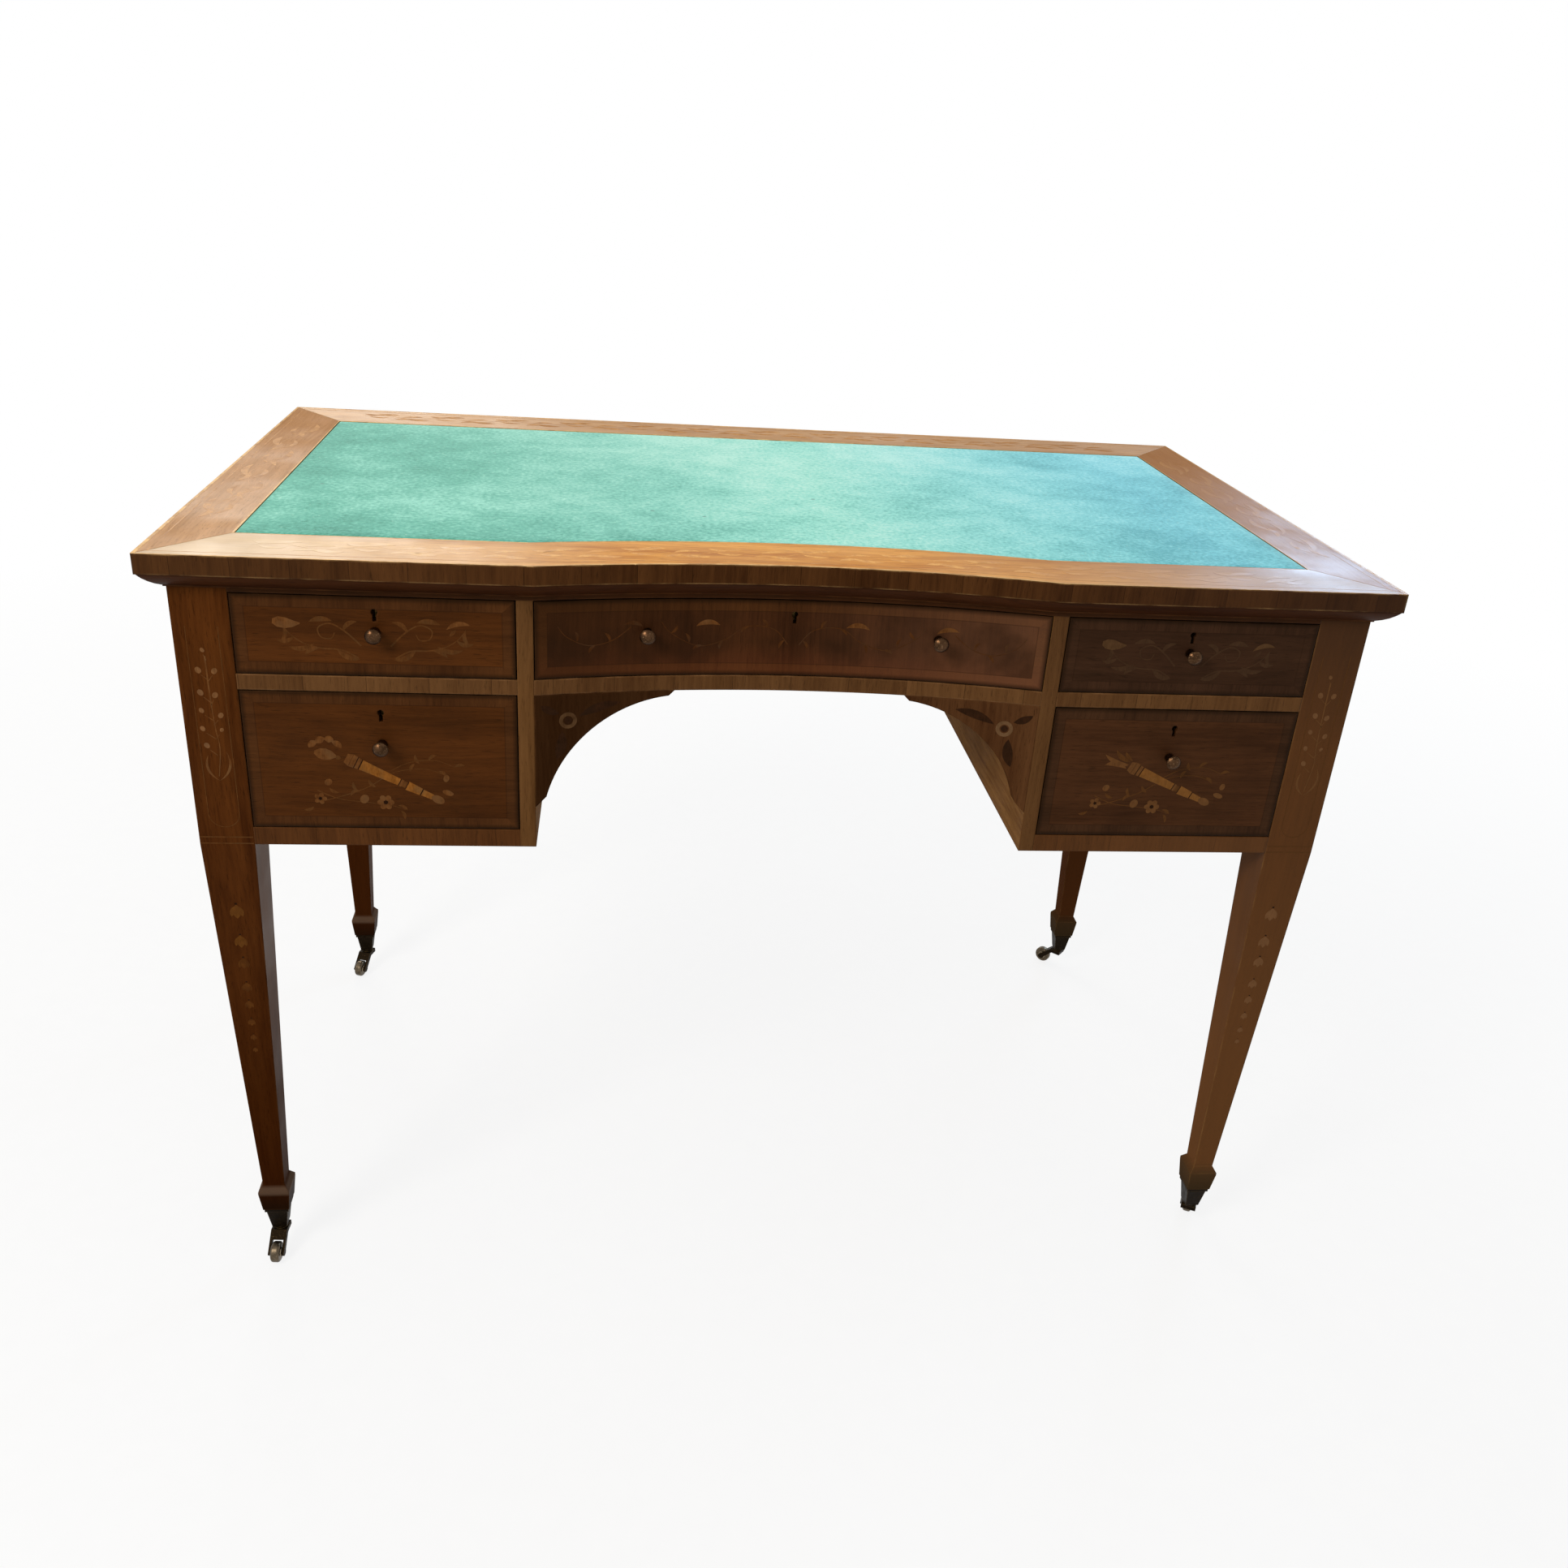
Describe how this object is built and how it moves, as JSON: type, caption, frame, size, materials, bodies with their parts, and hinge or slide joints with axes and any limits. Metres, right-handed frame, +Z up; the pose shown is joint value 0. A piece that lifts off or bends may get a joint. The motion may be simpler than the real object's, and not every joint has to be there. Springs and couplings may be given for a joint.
{
  "type": "writing table",
  "caption": "Kneehole writing table with a concave front, baize top, marquetry drawers, tapered legs with spade feet, and swivelling brass casters.",
  "frame": {"origin": "floor level, below the middle of the top", "axes": "+Z up, +X to the right of a person facing the drawers, +Y to the back"},
  "size_m": [1.067, 0.61, 0.754],
  "materials": {
    "carcass_wood": "French polished mahogany",
    "drawer_wood": "figured mahogany veneer, inlaid",
    "top_wood": "crossbanded mahogany, polished and faded",
    "lining_wood": "bare planed secondary wood",
    "baize": "worn green baize",
    "knob_brass": "darkened brass",
    "caster_brass": "tarnished brass",
    "lock_brass": "dull brass",
    "screw_steel": "oxidised"
  },
  "bodies": {
    "carcass": {"top_screws": "screw_steel", "top_ground": "lining_wood", "writing_surface": "baize", "top_frame_front": "top_wood", "top_frame_back": "top_wood", "top_frame_ends": "top_wood", "moulding_front": "carcass_wood", "moulding_back": "carcass_wood", "moulding_ends": "carcass_wood", "leg_front_left": "carcass_wood", "leg_front_right": "carcass_wood", "leg_back_left": "carcass_wood", "leg_back_right": "carcass_wood", "caster_cups": "caster_brass", "end_panel_left": "carcass_wood", "end_panel_right": "carcass_wood", "inner_side_left": "carcass_wood", "inner_side_right": "carcass_wood", "top_rail_front": "carcass_wood", "centre_rail": "carcass_wood", "divider_rails": "carcass_wood", "bottom_rails": "carcass_wood", "pedestal_floors": "lining_wood", "pedestal_backs": "carcass_wood", "back_apron": "carcass_wood", "drawer_runners": "lining_wood", "kneehole_brackets": "carcass_wood"},
    "drawer_upper_left": {"drawer_upper_left_front": "drawer_wood", "drawer_upper_left_box": "lining_wood", "drawer_upper_left_bottom": "lining_wood", "drawer_upper_left_knob": "knob_brass", "drawer_upper_left_lock": "lock_brass"},
    "drawer_lower_left": {"drawer_lower_left_front": "drawer_wood", "drawer_lower_left_box": "lining_wood", "drawer_lower_left_bottom": "lining_wood", "drawer_lower_left_knob": "knob_brass", "drawer_lower_left_lock": "lock_brass"},
    "drawer_upper_right": {"drawer_upper_right_front": "drawer_wood", "drawer_upper_right_box": "lining_wood", "drawer_upper_right_bottom": "lining_wood", "drawer_upper_right_knob": "knob_brass", "drawer_upper_right_lock": "lock_brass"},
    "drawer_lower_right": {"drawer_lower_right_front": "drawer_wood", "drawer_lower_right_box": "lining_wood", "drawer_lower_right_bottom": "lining_wood", "drawer_lower_right_knob": "knob_brass", "drawer_lower_right_lock": "lock_brass"},
    "drawer_centre": {"drawer_centre_front": "drawer_wood", "drawer_centre_box": "lining_wood", "drawer_centre_bottom": "lining_wood", "drawer_centre_knob": "knob_brass", "drawer_centre_lock": "lock_brass"},
    "caster_fork_front_left": {"caster_fork_front_left": "caster_brass"},
    "caster_wheel_front_left": {"caster_wheel_front_left": "caster_brass"},
    "caster_fork_front_right": {"caster_fork_front_right": "caster_brass"},
    "caster_wheel_front_right": {"caster_wheel_front_right": "caster_brass"},
    "caster_fork_back_left": {"caster_fork_back_left": "caster_brass"},
    "caster_wheel_back_left": {"caster_wheel_back_left": "caster_brass"},
    "caster_fork_back_right": {"caster_fork_back_right": "caster_brass"},
    "caster_wheel_back_right": {"caster_wheel_back_right": "caster_brass"}
  },
  "joints": [
    {"name": "slide_upper_left", "type": "slide", "parent": "carcass", "child": "drawer_upper_left", "axis": [0, -1, 0], "range_m": [0, 0.4]},
    {"name": "slide_lower_left", "type": "slide", "parent": "carcass", "child": "drawer_lower_left", "axis": [0, -1, 0], "range_m": [0, 0.4]},
    {"name": "slide_upper_right", "type": "slide", "parent": "carcass", "child": "drawer_upper_right", "axis": [0, -1, 0], "range_m": [0, 0.4]},
    {"name": "slide_lower_right", "type": "slide", "parent": "carcass", "child": "drawer_lower_right", "axis": [0, -1, 0], "range_m": [0, 0.4]},
    {"name": "slide_centre", "type": "slide", "parent": "carcass", "child": "drawer_centre", "axis": [0, -1, 0], "range_m": [0, 0.38]},
    {"name": "swivel_front_left", "type": "hinge", "parent": "carcass", "child": "caster_fork_front_left", "pos_m": [-0.49225, -0.26375, 0.0305], "axis": [0, 0, 1], "continuous": true},
    {"name": "roll_front_left", "type": "hinge", "parent": "caster_fork_front_left", "child": "caster_wheel_front_left", "pos_m": [-0.49378, -0.2857, 0.0105], "axis": [0.9976, -0.0698, 0], "continuous": true},
    {"name": "swivel_front_right", "type": "hinge", "parent": "carcass", "child": "caster_fork_front_right", "pos_m": [0.49225, -0.26375, 0.0305], "axis": [0, 0, 1], "continuous": true},
    {"name": "roll_front_right", "type": "hinge", "parent": "caster_fork_front_right", "child": "caster_wheel_front_right", "pos_m": [0.50189, -0.24398, 0.0105], "axis": [-0.8988, 0.4384, 0], "continuous": true},
    {"name": "swivel_back_left", "type": "hinge", "parent": "carcass", "child": "caster_fork_back_left", "pos_m": [-0.49225, 0.26375, 0.0305], "axis": [0, 0, 1], "continuous": true},
    {"name": "roll_back_left", "type": "hinge", "parent": "caster_fork_back_left", "child": "caster_wheel_back_left", "pos_m": [-0.49905, 0.24283, 0.0105], "axis": [0.9511, -0.309, 0], "continuous": true},
    {"name": "swivel_back_right", "type": "hinge", "parent": "carcass", "child": "caster_fork_back_right", "pos_m": [0.49225, 0.26375, 0.0305], "axis": [0, 0, 1], "continuous": true},
    {"name": "roll_back_right", "type": "hinge", "parent": "caster_fork_back_right", "child": "caster_wheel_back_right", "pos_m": [0.47616, 0.27875, 0.0105], "axis": [-0.682, -0.7314, 0], "continuous": true}
  ]
}
